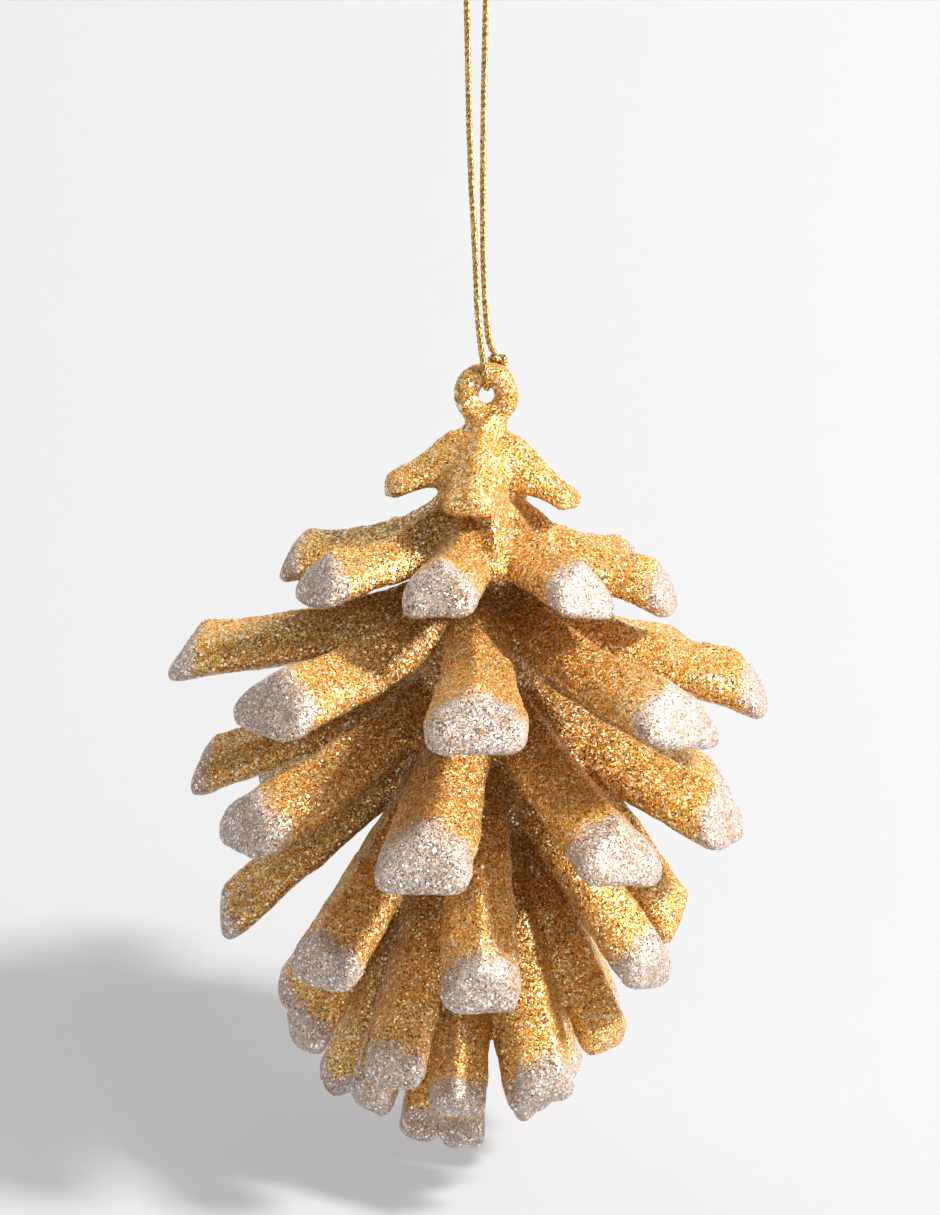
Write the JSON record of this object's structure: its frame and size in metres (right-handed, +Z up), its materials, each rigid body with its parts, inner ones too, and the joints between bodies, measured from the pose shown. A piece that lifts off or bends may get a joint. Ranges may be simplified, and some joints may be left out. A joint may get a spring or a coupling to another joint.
{
  "type": "pine cone ornament",
  "caption": "Hanging pine cone ornament with spreading keeled scales and a moulded ring, on a thin thread loop.",
  "frame": {"origin": "crown of the thread loop, inside the loop where a hook carries it", "axes": "+Z up, from the cone's foot towards the loop's crown; -Y is the front; the hole of the ring runs along Y"},
  "size_m": [0.0785, 0.0776, 0.1614],
  "materials": {
    "glitter_plastic": "gold glitter, silver glitter on the scale tips",
    "metallic_thread": "twisted gold metallic thread"
  },
  "bodies": {
    "root": {"pine_cone": "glitter_plastic", "thread_loop": "metallic_thread", "thread_knot": "metallic_thread"}
  },
  "joints": []
}
